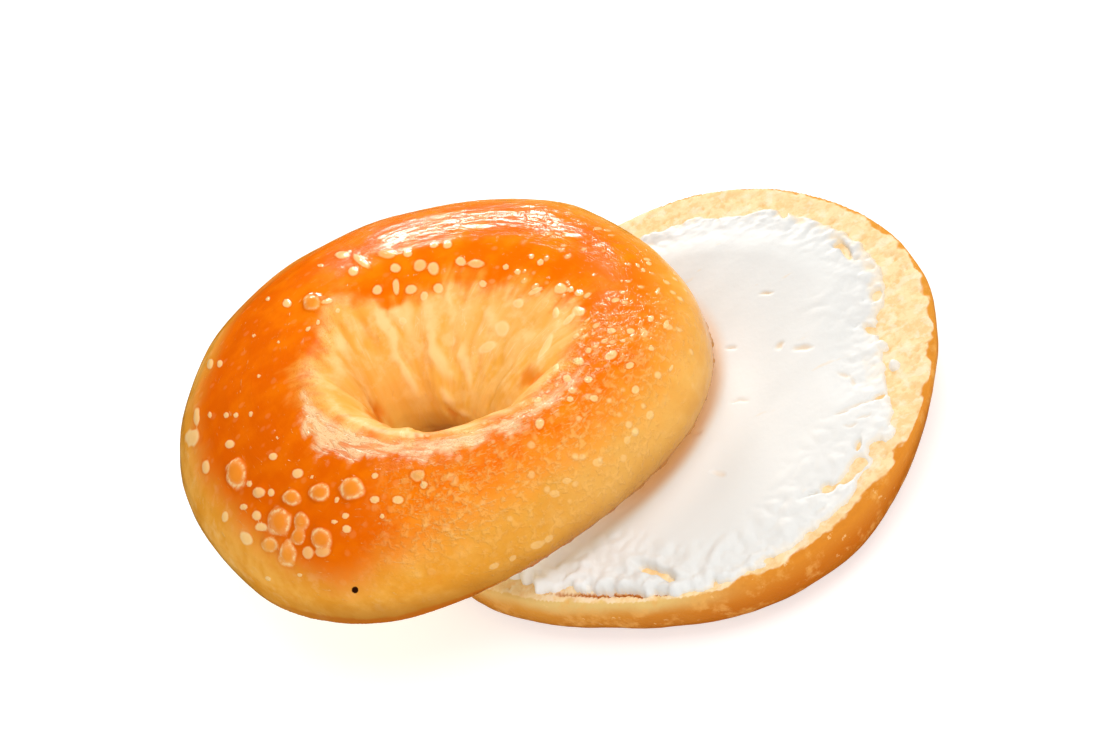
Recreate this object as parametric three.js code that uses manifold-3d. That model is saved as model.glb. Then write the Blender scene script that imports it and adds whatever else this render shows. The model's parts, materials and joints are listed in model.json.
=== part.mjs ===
// A plain bagel, cut in two level with its base. The thin lower half lies with its cut face up and is
// spread with cream cheese. The thick crown half was put back to one side, so it covers part of the
// spread and hangs past the edge of the lower half.
// Millimetres, +Z up. The origin is on the surface that the bagel stands on, below its middle.

import * as THREE from 'three';
import { mergeVertices } from 'three/addons/utils/BufferGeometryUtils.js';
import Module from 'manifold-3d';

const manifold = await Module();
manifold.setup();

const { degToRad, euclideanModulo, lerp, radToDeg, smoothstep } = THREE.MathUtils;
const QUARTER_TURN = Math.PI / 2;

// A wave row is [order, cosine part, sine part]: how far the dough swells that many times round the ring.
const CUT_RADIUS = 53.8;
const CUT_WAVES = [[2, 0, 0.8], [3, -1.7, 0.9], [4, 0.8, 0], [5, 0.3, -0.3]];

// The hole is an oval slit. Its throat is nearer to one side of the ring than to the middle, and it
// slants back and narrows on its way down through both halves.
const THROAT_CENTRE = new THREE.Vector2(-15.6, -9.6);
const THROAT_LONG = 14.4;
const THROAT_SHORT = 6.4;
const THROAT_DIRECTION = degToRad(-108);
const HOLE_SLANT = 0.022;
const HOLE_NARROWING = 0.08;

// Lower half: a flat disc with a rounded side.
const LOWER_HEIGHT = 13;
const LOWER_WIDEST_HEIGHT = 7.8;
const LOWER_BULGE = 0.6;
const FOOT_INSET = 8.5;
// The hole flares out at the foot, from this height down.
const FOOT_FLARE = 3;
const FLARE_HEIGHT = 4;
const LOWER_CENTRE = new THREE.Vector2(17.7, -28.6);

// Crown half: its side bulges past the cut, and its crest stands round a wide funnel.
const CROWN_HEIGHT = 25.1;
const CROWN_HEIGHT_WAVES = [[1, -2.8, 2.4], [2, -0.6, 0.5]];
const CROWN_WIDEST_HEIGHT = 9;
const CROWN_BULGE = 1.5;
const CROWN_BULGE_WAVES = [[1, -3, -0.6], [2, -2.7, 0.4], [3, 1.3, -0.5]];
const LEAST_BULGE = 0.5;
const CREST_CENTRE = new THREE.Vector2(-2.1, -12.9);
const CREST_RADIUS = 30.3;
const CREST_WAVES = [[2, -1.5, 1.2]];
const THROAT_HEIGHT = 4.8;
const CROWN_CENTRE = new THREE.Vector2(-21.8, -5.3);
const CROWN_TURN = degToRad(47);
const CROWN_LEAN = degToRad(2.8);
const CROWN_LEAN_DIRECTION = degToRad(-92);
const CROWN_LIFT = 16;
// Nothing within this distance of the crown's middle stands higher than its cut face.
const CROWN_SHADE = 62;

// Folds in the funnel, where the skin wrinkled as the hole closed up in the oven.
const FOLD_WAVES = [[7, 0.35, 0.2], [11, -0.3, 0.35], [16, 0.25, -0.2]];

// Skin blisters on the crown: [x, y, width], seen from above.
const BLISTERS = [
  [-38.6, 21.4, 5.2], [-43, -10, 5], [-44, -2.5, 4.4], [-44.6, 4.3, 4], [-43, 12.5, 2.6],
  [-48.5, 6.3, 5.4], [-48.7, 0.6, 3.6], [-50.6, 1.4, 4.2], [-51, -4.2, 4.8], [-51, 9, 3.6],
  [-52, 4.8, 4.4], [4.1, 23.8, 3.6],
];
const BLISTER_RISE = 0.8;

// Cream cheese: a ragged layer over the cut face and across the hole, in folds, pressed thin by the crown.
const SPREAD_THICKNESS = 2.2;
const SPREAD_FOLD = 0.35;
const SPREAD_FOLD_LENGTH = 26;
// The knife left more of it along the edge, in lumps.
const SPREAD_EDGE_RISE = 0.9;
const SPREAD_EDGE_LUMPS = 9;
// How much bare crumb is left between the spread and the rim: [angle in degrees, width].
const SPREAD_MARGINS = [
  [-147, 3.4], [-130, 2.2], [-112, 1.4], [-98, 1], [-84, 2.8], [-70, 2.4], [-56, 2.6], [-45, 2.8],
  [-38, 6.4], [-30, 8.6], [-18, 9.4], [-2, 5.4], [18, 3.8], [38, 5.4], [58, 7.8], [76, 8.4],
  [110, 6], [160, 4.5],
];
const SPREAD_EDGE_WAVES = [[13, 0.3, 0.25], [19, -0.3, 0.3], [29, 0.25, -0.3]];

// Pieces that touch keep this much room between them.
const TOUCH_GAP = 0.3;

const COLUMNS = 96;

const crust = new THREE.MeshStandardMaterial({ color: 0xe07a1c, roughness: 0.32, metalness: 0 });
const paleCrust = new THREE.MeshStandardMaterial({ color: 0xe0a450, roughness: 0.5, metalness: 0 });
const creamCheese = new THREE.MeshStandardMaterial({ color: 0xf6f3ec, roughness: 0.55, metalness: 0 });

function waves(rows, angle) {
  let sum = 0;
  for (const [order, cosine, sine] of rows) {
    sum += cosine * Math.cos(order * angle) + sine * Math.sin(order * angle);
  }
  return sum;
}

function cutRadius(angle) {
  return CUT_RADIUS + waves(CUT_WAVES, angle);
}

function around(centre, radius, angle, height) {
  return new THREE.Vector3(
    centre.x + radius * Math.cos(angle),
    centre.y + radius * Math.sin(angle),
    height,
  );
}

// A point on the wall of the hole, at a depth below its throat.
function holePoint(angle, depth, flare, height) {
  const long = THROAT_LONG - HOLE_NARROWING * depth + flare;
  const short = THROAT_SHORT - HOLE_NARROWING * depth + flare;
  const turned = angle - THROAT_DIRECTION;
  const radius = (long * short) / Math.hypot(short * Math.cos(turned), long * Math.sin(turned));
  const centre = THROAT_CENTRE.clone().multiplyScalar(1 - HOLE_SLANT * depth);
  return around(centre, radius, angle, height);
}

const MIDDLE = new THREE.Vector2(0, 0);
const UP = new THREE.Vector3(0, 0, 1);

function steps(count, place) {
  return Array.from({ length: count }, (_, index) => place(index / count));
}

function indexedGeometry(points, indices) {
  const geometry = new THREE.BufferGeometry();
  geometry.setAttribute('position', new THREE.Float32BufferAttribute(points.flatMap((p) => p.toArray()), 3));
  geometry.setIndex(indices);
  return geometry;
}

// The strip of faces between neighbouring sections of a solid, whose points lie one column after another.
function stripIndices(rows, strips) {
  const indices = [];
  for (let column = 0; column < COLUMNS; column++) {
    const next = (column + 1) % COLUMNS;
    for (let row = 0; row < strips; row++) {
      const after = (row + 1) % rows;
      indices.push(column * rows + row, next * rows + row, next * rows + after);
      indices.push(column * rows + row, next * rows + after, column * rows + after);
    }
  }
  return indices;
}

function sections(sectionAt) {
  return steps(COLUMNS, (share) => sectionAt(2 * Math.PI * share));
}

// A ring: each section is closed, and runs outwards below, up the outer side, inwards over the top
// and down the hole.
function ringGeometry(sectionAt) {
  const all = sections(sectionAt);
  const rows = all[0].length;
  return indexedGeometry(all.flat(), stripIndices(rows, rows));
}

// A layer without a hole: each section is open, and both its ends are joined to a middle point.
function layerGeometry(sectionAt, middleTop) {
  const all = sections(sectionAt);
  const rows = all[0].length;
  const points = [...all.flat(), new THREE.Vector3(0, 0, 0), middleTop];
  const indices = stripIndices(rows, rows - 1);
  const below = points.length - 2;
  const above = points.length - 1;
  for (let column = 0; column < COLUMNS; column++) {
    const next = (column + 1) % COLUMNS;
    indices.push(below, next * rows, column * rows);
    indices.push(above, column * rows + rows - 1, next * rows + rows - 1);
  }
  return indexedGeometry(points, indices);
}

function toSolid(geometry) {
  const bare = geometry.clone();
  bare.deleteAttribute('normal');
  bare.deleteAttribute('uv');
  const merged = mergeVertices(bare, 1e-4);
  return new manifold.Manifold(new manifold.Mesh({
    numProp: 3,
    vertProperties: new Float32Array(merged.attributes.position.array),
    triVerts: new Uint32Array(merged.index.array),
  }));
}

function toGeometry(solid) {
  const mesh = solid.getMesh();
  const geometry = new THREE.BufferGeometry();
  geometry.setAttribute('position', new THREE.BufferAttribute(mesh.vertProperties, 3));
  geometry.setIndex(new THREE.BufferAttribute(mesh.triVerts, 1));
  return geometry;
}

function lowerSection(angle) {
  const rim = cutRadius(angle);
  const foot = rim - FOOT_INSET;
  const widest = rim + LOWER_BULGE;
  const depthAt = (height) => THROAT_HEIGHT + LOWER_HEIGHT - height;
  return [
    holePoint(angle, depthAt(0), FOOT_FLARE, 0),
    ...steps(6, (share) => around(
      MIDDLE,
      foot + (widest - foot) * Math.sin(share * QUARTER_TURN),
      angle,
      LOWER_WIDEST_HEIGHT * (1 - Math.cos(share * QUARTER_TURN)),
    )),
    ...steps(4, (share) => around(
      MIDDLE,
      rim + LOWER_BULGE * Math.cos(share * QUARTER_TURN),
      angle,
      LOWER_WIDEST_HEIGHT + (LOWER_HEIGHT - LOWER_WIDEST_HEIGHT) * Math.sin(share * QUARTER_TURN),
    )),
    around(MIDDLE, rim, angle, LOWER_HEIGHT),
    holePoint(angle, depthAt(LOWER_HEIGHT), 0, LOWER_HEIGHT),
    holePoint(angle, depthAt(FLARE_HEIGHT), 0, FLARE_HEIGHT),
    holePoint(angle, depthAt(FLARE_HEIGHT / 3), FOOT_FLARE / 3, FLARE_HEIGHT / 3),
  ];
}

function crownSection(angle) {
  const bulge = CROWN_BULGE + waves(CROWN_BULGE_WAVES, angle);
  const rim = cutRadius(angle) + Math.min(0, bulge - LEAST_BULGE);
  const overhang = Math.max(bulge, LEAST_BULGE);
  const height = CROWN_HEIGHT + waves(CROWN_HEIGHT_WAVES, angle);
  const widest = around(MIDDLE, rim + overhang, angle, CROWN_WIDEST_HEIGHT);
  const crest = around(CREST_CENTRE, CREST_RADIUS + waves(CREST_WAVES, angle), angle, height);
  const throat = holePoint(angle, 0, 0, THROAT_HEIGHT);
  const side = steps(4, (share) => around(
    MIDDLE,
    rim + overhang * Math.sin(share * QUARTER_TURN),
    angle,
    CROWN_WIDEST_HEIGHT * (1 - Math.cos(share * QUARTER_TURN)),
  ));
  const shoulder = steps(9, (share) => new THREE.Vector3(
    lerp(crest.x, widest.x, Math.cos(share * QUARTER_TURN)),
    lerp(crest.y, widest.y, Math.cos(share * QUARTER_TURN)),
    lerp(widest.z, crest.z, Math.sin(share * QUARTER_TURN)),
  ));
  const funnel = steps(9, (share) => {
    const fold = waves(FOLD_WAVES, angle) * Math.sin(share * Math.PI);
    return new THREE.Vector3(
      lerp(crest.x, throat.x, Math.sin(share * QUARTER_TURN)) + fold * Math.cos(angle),
      lerp(crest.y, throat.y, Math.sin(share * QUARTER_TURN)) + fold * Math.sin(angle),
      lerp(throat.z, crest.z, Math.cos(share * QUARTER_TURN)),
    );
  });
  return [...side, ...shoulder, ...funnel, throat, holePoint(angle, THROAT_HEIGHT, 0.5, 0)];
}

// Each blister is a low dome, sunk to its middle in the skin below it and joined to it.
function blistered(ring) {
  const skin = new THREE.Mesh(ring, crust);
  let solid = toSolid(ring);
  for (const [x, y, width] of BLISTERS) {
    const above = new THREE.Vector3(x, y, 2 * CROWN_HEIGHT);
    const [hit] = new THREE.Raycaster(above, UP.clone().negate()).intersectObject(skin);
    const dome = new THREE.SphereGeometry(1, 12, 8);
    dome.rotateX(Math.PI / 2);
    dome.scale(width / 2, width / 2, BLISTER_RISE);
    dome.applyQuaternion(new THREE.Quaternion().setFromUnitVectors(UP, hit.face.normal));
    dome.translate(hit.point.x, hit.point.y, hit.point.z);
    solid = solid.add(toSolid(dome));
  }
  return toGeometry(solid);
}

// Between two rows the margin changes smoothly, and past the last row it goes back to the first.
function spreadRadius(angle) {
  const [firstAngle, firstMargin] = SPREAD_MARGINS[0];
  const place = euclideanModulo(radToDeg(angle) - firstAngle, 360) + firstAngle;
  const rows = [...SPREAD_MARGINS, [firstAngle + 360, firstMargin]];
  const after = rows.findIndex(([at]) => at > place);
  const [fromAngle, fromMargin] = rows[after - 1];
  const [toAngle, toMargin] = rows[after];
  const margin = lerp(fromMargin, toMargin, smoothstep(place, fromAngle, toAngle));
  return cutRadius(angle) - margin + waves(SPREAD_EDGE_WAVES, angle);
}

// Height of the crown's cut face over a place that is given from the middle of the lower half.
function crownFaceHeight(x, y) {
  const up = UP.clone().applyQuaternion(crownPlace.quaternion);
  const fromCrown = new THREE.Vector2(x, y).add(LOWER_CENTRE).sub(CROWN_CENTRE);
  const face = CROWN_LIFT - (up.x * fromCrown.x + up.y * fromCrown.y) / up.z;
  return fromCrown.length() < CROWN_SHADE ? face : Infinity;
}

// Two sets of folds cross each other, the first of them wavy.
function spreadFolds(x, y) {
  const perLength = (2 * Math.PI) / SPREAD_FOLD_LENGTH;
  const wavy = Math.sin(perLength * (x + 2.5 * Math.sin(perLength * y / 2)));
  return wavy + Math.cos(perLength * (y - x / 2));
}

// A point of the spread, at a share of the way out to its edge and of the way up to its top.
function spreadPoint(angle, share, rise) {
  const point = around(MIDDLE, share * spreadRadius(angle), angle, 0);
  const edge = smoothstep(share, 0.6, 0.95) * (0.6 + 0.4 * Math.sin(SPREAD_EDGE_LUMPS * angle));
  const folds = SPREAD_FOLD * spreadFolds(point.x, point.y);
  const height = SPREAD_THICKNESS + folds + SPREAD_EDGE_RISE * edge;
  const room = crownFaceHeight(point.x, point.y) - LOWER_HEIGHT - 2 * TOUCH_GAP;
  point.z = rise * Math.min(height, room);
  return point;
}

// From the underside's edge, round the thick lip, to the last ring before the middle.
function spreadSection(angle) {
  const lip = [spreadPoint(angle, 0.99, 0), spreadPoint(angle, 1, 0.4), spreadPoint(angle, 0.985, 0.8)];
  const rings = [0.95, 0.88, 0.78, 0.66, 0.52, 0.38, 0.22];
  return [...lip, ...rings.map((share) => spreadPoint(angle, share, 1))];
}

const bagel = new THREE.Group();

const lower = new THREE.Group();
lower.position.set(LOWER_CENTRE.x, LOWER_CENTRE.y, 0);
bagel.add(lower);

// The crown half leans a little: its group carries the lean, and the mesh is turned inside it.
const crownPlace = new THREE.Group();
crownPlace.position.set(CROWN_CENTRE.x, CROWN_CENTRE.y, CROWN_LIFT);
const leanAxis = new THREE.Vector3(Math.sin(CROWN_LEAN_DIRECTION), -Math.cos(CROWN_LEAN_DIRECTION), 0);
crownPlace.quaternion.setFromAxisAngle(leanAxis, CROWN_LEAN);
bagel.add(crownPlace);

const lowerHalf = new THREE.Mesh(ringGeometry(lowerSection), paleCrust);
lowerHalf.name = 'lower_half';
lower.add(lowerHalf);

const spread = new THREE.Mesh(layerGeometry(spreadSection, spreadPoint(0, 0, 1)), creamCheese);
spread.name = 'cream_cheese';
spread.position.z = LOWER_HEIGHT + TOUCH_GAP;
lower.add(spread);

const crownHalf = new THREE.Mesh(blistered(ringGeometry(crownSection)), crust);
crownHalf.name = 'crown_half';
crownHalf.rotation.z = CROWN_TURN;
crownPlace.add(crownHalf);

const extent = new THREE.Box3().setFromObject(bagel, true);
bagel.position.set(-(extent.min.x + extent.max.x) / 2, -(extent.min.y + extent.max.y) / 2, -extent.min.z);

export default bagel;
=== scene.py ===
import json
import math

import bpy
import numpy as np
from mathutils import Matrix, Vector, noise
from mathutils.bvhtree import BVHTree

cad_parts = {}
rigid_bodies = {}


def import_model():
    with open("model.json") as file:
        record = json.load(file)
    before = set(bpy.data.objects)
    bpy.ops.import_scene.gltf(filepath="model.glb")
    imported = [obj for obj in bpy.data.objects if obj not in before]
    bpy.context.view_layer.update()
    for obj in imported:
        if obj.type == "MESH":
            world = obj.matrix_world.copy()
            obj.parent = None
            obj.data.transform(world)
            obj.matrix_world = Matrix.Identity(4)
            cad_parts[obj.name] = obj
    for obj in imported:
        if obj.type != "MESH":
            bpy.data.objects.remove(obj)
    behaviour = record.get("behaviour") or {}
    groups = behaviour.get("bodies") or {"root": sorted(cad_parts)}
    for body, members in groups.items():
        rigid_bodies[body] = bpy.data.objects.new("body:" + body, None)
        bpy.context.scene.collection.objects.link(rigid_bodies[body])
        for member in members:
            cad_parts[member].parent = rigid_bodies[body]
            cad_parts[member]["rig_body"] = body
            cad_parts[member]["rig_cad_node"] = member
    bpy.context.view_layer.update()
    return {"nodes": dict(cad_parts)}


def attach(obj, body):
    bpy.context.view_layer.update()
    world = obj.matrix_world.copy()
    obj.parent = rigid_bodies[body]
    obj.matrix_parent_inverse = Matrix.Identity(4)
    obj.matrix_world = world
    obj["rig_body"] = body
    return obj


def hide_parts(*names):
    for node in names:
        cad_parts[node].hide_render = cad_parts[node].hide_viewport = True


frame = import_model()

# Lengths are in metres where MM stands beside them. Relief, tables by bearing and distances on a piece
# are worked out in millimetres.
MM = 0.001

# ---------------------------------------------------------------------------------------------------
# Camera. It looks down on the bagel at 40.5 degrees from 0.65 m away, rolled by 28.7 degrees, so the
# table seems to slope. Its picture is 1100 by 733 pixels, 4.88 of them to a millimetre at the bagel.
PICTURE_WIDTH = 1100
PICTURE_HEIGHT = 733
LOOK_DOWN = math.radians(40.51)
ROLL = math.radians(28.73)
LOOK_AT = Vector((2.7, 17.9, 10)) * MM
DISTANCE = 650 * MM
PIXELS_PER_MM = 4.88
SENSOR_WIDTH = 36

backwards = Vector((0, -math.cos(LOOK_DOWN), math.sin(LOOK_DOWN)))
level_right = Vector((1, 0, 0))
level_up = backwards.cross(level_right)
rightwards = level_right * math.cos(ROLL) - level_up * math.sin(ROLL)
upwards = level_right * math.sin(ROLL) + level_up * math.cos(ROLL)
eye = LOOK_AT + backwards * DISTANCE
focal_pixels = PIXELS_PER_MM * DISTANCE / MM

bpy.ops.object.camera_add(location=eye)
camera = bpy.context.object
camera.name = "camera"
turned = Matrix((rightwards, upwards, backwards)).transposed().to_4x4()
camera.matrix_world = Matrix.Translation(eye) @ turned
camera.data.sensor_width = SENSOR_WIDTH
camera.data.lens = focal_pixels * SENSOR_WIDTH / PICTURE_WIDTH
camera.data.clip_start = 10 * MM
bpy.context.scene.camera = camera


def line_of_sight(x, y):
    """Direction from the eye through a pixel of the camera's picture."""
    across = rightwards * (x - PICTURE_WIDTH / 2) - upwards * (y - PICTURE_HEIGHT / 2)
    return (across - backwards * focal_pixels).normalized()


def seen_at(points):
    """Pixels at which the camera sees points, as an array of x, y rows."""
    away = points - np.array(eye)
    depth = -away @ np.array(backwards)
    x = PICTURE_WIDTH / 2 + focal_pixels * (away @ np.array(rightwards)) / depth
    y = PICTURE_HEIGHT / 2 - focal_pixels * (away @ np.array(upwards)) / depth
    return np.stack([x, y], 1)


# ---------------------------------------------------------------------------------------------------
# Studio. A white table that glows a little. A large soft light stands high at the right, a low box
# behind and a soft box in front fill in, and a low strip behind lights nothing: it only makes the gleam
# on the far shoulder of the crust.
FLOOR_SIZE = 6
SWEEP_DARK = 0.60
SWEEP_PALE = 0.64
bpy.context.scene.view_settings.view_transform = "Standard"

bpy.ops.mesh.primitive_plane_add(size=FLOOR_SIZE)
floor = bpy.context.object
floor.name = "floor"
floor.visible_glossy = False


def srgb(code):
    """Linear colour of a six-digit web colour."""
    parts = [int(code[i:i + 2], 16) / 255 for i in (0, 2, 4)]
    return [p / 12.92 if p <= 0.04045 else ((p + 0.055) / 1.055) ** 2.4 for p in parts] + [1]


def new_material(name, slot_of):
    """A material with only a Principled shader, returned with it, and put on some pieces."""
    material = bpy.data.materials.new(name)
    material.use_nodes = True
    for piece in slot_of:
        piece.data.materials.clear()
        piece.data.materials.append(material)
    return material, material.node_tree.nodes["Principled BSDF"]


def feed(material, socket, value):
    """Gives a socket a value, or a link from another socket."""
    if isinstance(value, bpy.types.NodeSocket):
        material.node_tree.links.new(value, socket)
    else:
        socket.default_value = value


def add_node(material, kind, inputs=None, **settings):
    """A node with its settings made and its inputs fed, by name or by number."""
    made = material.node_tree.nodes.new(kind)
    for name, value in settings.items():
        setattr(made, name, value)
    for name, value in (inputs or {}).items():
        feed(material, made.inputs[name], value)
    return made


floor_material, floor_shader = new_material("white_sweep", [floor])
sweep_noise = add_node(floor_material, "ShaderNodeTexNoise", {"Scale": 3.0, "Detail": 2.0})
sweep_tone = add_node(floor_material, "ShaderNodeMapRange",
                      {0: sweep_noise.outputs[0], 3: SWEEP_DARK, 4: SWEEP_PALE}).outputs[0]
sweep_colour = add_node(floor_material, "ShaderNodeCombineColor",
                        {0: sweep_tone, 1: sweep_tone, 2: sweep_tone}).outputs[0]
feed(floor_material, floor_shader.inputs["Base Color"], sweep_colour)
floor_shader.inputs["Roughness"].default_value = 0.8
floor_shader.inputs["Emission Color"].default_value = (1, 1, 1, 1)
floor_shader.inputs["Emission Strength"].default_value = 0.6

world = bpy.data.worlds.new("studio")
bpy.context.scene.world = world
world.use_nodes = True
world.node_tree.nodes["Background"].inputs["Color"].default_value = (1.0, 0.97, 0.93, 1)
world.node_tree.nodes["Background"].inputs["Strength"].default_value = 0.58
world.cycles_visibility.glossy = False

# Each light: name, compass direction from straight behind towards the right, height over the floor as
# an angle, distance, width, height, power, colour, whether it lights, and whether it makes highlights.
WHITE = (1, 0.985, 0.965)
WARM = (1, 0.96, 0.90)
LIGHTS = [
    ("top_light", 120, 72, 1.0, 0.8, 0.8, 5.5, WHITE, True, False),
    ("back_box", 14, 11, 1.1, 0.34, 0.13, 7.0, WARM, True, False),
    ("low_strip", 11, 14, 1.1, 0.32, 0.2, 12.0, WARM, False, True),
    ("front_box", 165, 28, 1.3, 0.8, 0.5, 2.2, WHITE, True, False),
]
for name, turn, climb, distance, light_width, light_height, power, colour, lights, shines in LIGHTS:
    turn, climb = math.radians(turn), math.radians(climb)
    away = Vector((math.sin(turn) * math.cos(climb), math.cos(turn) * math.cos(climb), math.sin(climb)))
    bpy.ops.object.light_add(type="AREA", location=away * distance)
    light = bpy.context.object
    light.name = name
    light.rotation_euler = away.to_track_quat("Z", "Y").to_euler()
    light.data.shape = "RECTANGLE"
    light.data.size = light_width
    light.data.size_y = light_height
    light.data.energy = power
    light.data.color = colour
    light.visible_diffuse = lights
    light.visible_glossy = shines


# ---------------------------------------------------------------------------------------------------
# Lower half. Bread about 13 mm high, cut level: pale crumb with small pores on top, and a thin golden
# crust round its side and under it. It stands on the table and carries the spread and the crown.
LOWER_GRAIN = 0.62 * MM
CUT_FACE = 13.0 * MM
LOWER_MIDDLE = Vector((20.6, -10.7, 0)) * MM
PORE_DEPTH = 0.45
ROLLED_EDGE_DROP = 1.2


def smooth_out(piece, rounds):
    smooth = piece.modifiers.new("smooth", "SMOOTH")
    smooth.factor = 0.5
    smooth.iterations = rounds
    bpy.ops.object.modifier_apply(modifier="smooth")
    bpy.ops.object.shade_smooth()


def even_copy(node, name, grain, rounds):
    """A closed copy of a CAD node with an even, smooth mesh of small faces."""
    piece = frame["nodes"][node].copy()
    piece.data = frame["nodes"][node].data.copy()
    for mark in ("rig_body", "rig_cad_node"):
        del piece[mark]
    piece.parent = None
    piece.name = piece.data.name = name
    bpy.context.scene.collection.objects.link(piece)
    bpy.ops.object.select_all(action="DESELECT")
    piece.select_set(True)
    bpy.context.view_layer.objects.active = piece
    bpy.ops.object.mode_set(mode="EDIT")
    bpy.ops.mesh.select_all(action="SELECT")
    bpy.ops.mesh.remove_doubles(threshold=1e-6)
    bpy.ops.object.mode_set(mode="OBJECT")
    remesh = piece.modifiers.new("even", "REMESH")
    remesh.mode = "VOXEL"
    remesh.voxel_size = grain
    bpy.ops.object.modifier_apply(modifier="even")
    smooth_out(piece, rounds)
    return piece


def points_and_normals(piece):
    """Places of a piece's points, and the way its skin faces at each, as arrays of x, y, z rows."""
    points = np.empty(len(piece.data.vertices) * 3)
    piece.data.vertices.foreach_get("co", points)
    normals = np.empty(len(points), np.float32)
    piece.data.vertex_normals.foreach_get("vector", normals)
    return points.reshape(-1, 3), normals.reshape(-1, 3).astype(float)


def move_points(piece, points):
    piece.data.vertices.foreach_set("co", points.ravel())
    piece.data.update()


def keep_values(piece, **kept):
    """Keeps a number or a vector for each point of a piece, for its material to read by its name."""
    for name, values in kept.items():
        kind, field = ("FLOAT", "value") if values.ndim == 1 else ("FLOAT_VECTOR", "vector")
        layer = piece.data.attributes.new(name, kind, "POINT")
        layer.data.foreach_set(field, values.astype(np.float32).ravel())


def noise_at(places, seed, octaves=1):
    """Smooth noise from about -1 to 1 for places measured in lumps, with finer noise on top if asked."""
    shifted = (places + seed * 7.31).tolist()
    if octaves == 1:
        return np.array([noise.noise(place) for place in shifted])
    return np.array([noise.fractal(place, 0.8, 2.1, octaves) for place in shifted])


def ease(values, low, high):
    """0 up to the low value, 1 from the high one, and a smooth climb between them."""
    share = np.clip((values - low) / (high - low), 0, 1)
    return share * share * (3 - 2 * share)


def compass(points, middle):
    """Bearing of points, in degrees from the right towards the far side, and reach from a middle."""
    east, north = (points[:, 0] - middle.x) / MM, (points[:, 1] - middle.y) / MM
    return np.degrees(np.arctan2(north, east)), np.hypot(east, north)


COMPASS_POINTS = np.arange(-180, 180, 4)


def outline_of(points, middle):
    """Table of the points' furthest distance from the middle, at each of the compass points."""
    bearing, reach = compass(points, middle)
    off = [np.abs((bearing - way + 180) % 360 - 180) for way in COMPASS_POINTS]
    return [(way, reach[angle < 2.5].max()) for way, angle in zip(COMPASS_POINTS, off)]


def at_bearing(bearing, table):
    """Values of a table by bearing, carried round the circle smoothly and read at each bearing."""
    angles, values = zip(*table)
    every = np.interp(COMPASS_POINTS, angles, values, period=360)
    for _ in range(2):
        every = (np.roll(every, 1) + 2 * every + np.roll(every, -1)) / 4
    return np.interp(bearing, COMPASS_POINTS, every, period=360)


# How brown the crust is by bearing: golden at the far side, brown at the near right, pale at the left.
BROWNING = [(-170, 0.5), (-150, 0.35), (-128, 0.45), (-104, 0.8), (-75, 1.0), (-45, 0.85), (-22, 0.6),
            (5, 0.4), (60, 0.2), (120, 0.3), (170, 0.5)]

# Where a band along the top of the side stayed unbaked, and where that band tore from the crumb.
PALE_BAND = [(-180, 0), (-160, 0.7), (-145, 1), (-112, 1), (-98, 0), (0, 0), (90, 0)]
TORN_CREVICE = [(-180, 0), (-150, 0), (-138, 0.6), (-125, 1), (-108, 0.8), (-98, 0), (0, 0), (90, 0)]

# How far the crust comes in over the edge of the cut, and how far the cut leans out over the side, in
# millimetres.
CRUST_ON_TOP = [(-180, 0.3), (-112, 0.3), (-100, 0.5), (-92, 0.8), (-80, 1.2), (-68, 1.3), (-56, 0.9),
                (-44, 0.4), (-25, 1.1), (0, 0.9), (30, 0.6), (60, 0.4), (90, 0.3)]
FLARE = [(-180, 0), (-80, 0), (-68, 0.6), (-55, 1.4), (-40, 2.2), (0, 2.2), (30, 2.0), (60, 1.6),
         (90, 0.8), (120, 0)]

lower_bread = even_copy("lower_half", "lower_bread", LOWER_GRAIN, 3)
points, normals = points_and_normals(lower_bread)

# The edge of the cut leans out over the side. Margin is how far inside that edge a point is.
bearing, reach = compass(points, LOWER_MIDDLE)
flare = at_bearing(bearing, FLARE) * ease(points[:, 2], 5 * MM, 12 * MM) * ease(reach, 30, 45)
points[:, 0] += flare * MM * np.cos(np.radians(bearing))
points[:, 1] += flare * MM * np.sin(np.radians(bearing))
bearing, reach = compass(points, LOWER_MIDDLE)
cut_edge = outline_of(points[points[:, 2] > CUT_FACE - 0.6 * MM], LOWER_MIDDLE)
margin = at_bearing(bearing, cut_edge) - reach

# The torn crevice, the crust that rolls in over the edge, the pores and fibres of the crumb, and the
# dents of the side.
on_cut = ease(normals[:, 2], 0.5, 0.9) * ease(points[:, 2], CUT_FACE - 1.2 * MM, CUT_FACE - 0.4 * MM)
torn = margin + noise_at(points / (2 * MM), 7, 3) * 0.5
crevice = at_bearing(bearing, TORN_CREVICE) * ease(torn, 1.4, 1.9) * (1 - ease(torn, 2.3, 2.9))
crust_on_top = at_bearing(bearing, CRUST_ON_TOP) + noise_at(points / (5 * MM), 8, 4) * 1.5 - margin
rolled = ease(crust_on_top, -1, 4)
pores = ease(noise_at(points / (1.3 * MM), 1), 0.25, 0.6)
fibres = noise_at(points / (0.9 * MM), 2) * 0.12 + noise_at(points / (4 * MM), 3) * 0.25
dents = noise_at(points / (9 * MM), 4) * 0.3 + noise_at(points / (2.5 * MM), 5) * 0.06
crumb_relief = fibres - PORE_DEPTH * pores * ease(margin, 0.6, 2) - crevice - ROLLED_EDGE_DROP * rolled
relief = crumb_relief * on_cut + dents * (1 - on_cut)
points += normals * (relief * MM)[:, None]
points[:, 2] = np.maximum(points[:, 2], 0)
move_points(lower_bread, points)
keep_values(lower_bread, cut=on_cut, crust_on_top=crust_on_top, crevice=crevice, pores=pores * on_cut,
            browning=at_bearing(bearing, BROWNING), pale_band=at_bearing(bearing, PALE_BAND))

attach(lower_bread, "root")
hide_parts("lower_half")


def noise_node(material, places, scale, detail=3.0, roughness=0.55, distortion=0.0):
    """Noise from 0 to 1, with a scale in lumps to a metre for places in metres."""
    made = add_node(material, "ShaderNodeTexNoise", {"Vector": places, "Scale": scale, "Detail": detail,
                                                      "Roughness": roughness, "Distortion": distortion})
    return made.outputs["Fac"]


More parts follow.
